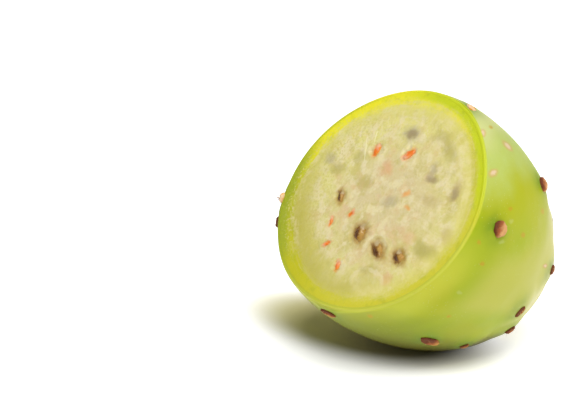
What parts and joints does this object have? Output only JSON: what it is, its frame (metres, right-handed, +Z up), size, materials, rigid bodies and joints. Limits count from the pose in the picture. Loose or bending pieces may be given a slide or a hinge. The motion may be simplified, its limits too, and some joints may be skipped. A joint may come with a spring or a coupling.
{
  "type": "prickly pear fruit",
  "caption": "Prickly pear cut slantwise across: the crown end lies on its side, cut face up, with its green skin, woody areoles, pale pulp and opened seeds.",
  "frame": {"origin": "middle of the footprint, on the surface that the fruit rests on", "axes": "+Z up; +X along the fruit in plan, from the cut face towards the crown end; +Y to the left of that"},
  "size_m": [0.0669, 0.0636, 0.0644],
  "materials": {
    "skin": "satin, waxy green fruit skin",
    "flesh": "moist pale cream pulp inside a yellow-green rind",
    "areole": "dry, corky brown",
    "ripe_seed": "hard brown seed, wet from the pulp",
    "unripe_seed": "soft orange-red seed, wet from the pulp",
    "spine": "fine straw-coloured bristles"
  },
  "bodies": {
    "root": {"prickly_pear_fruit": "skin"}
  },
  "joints": []
}
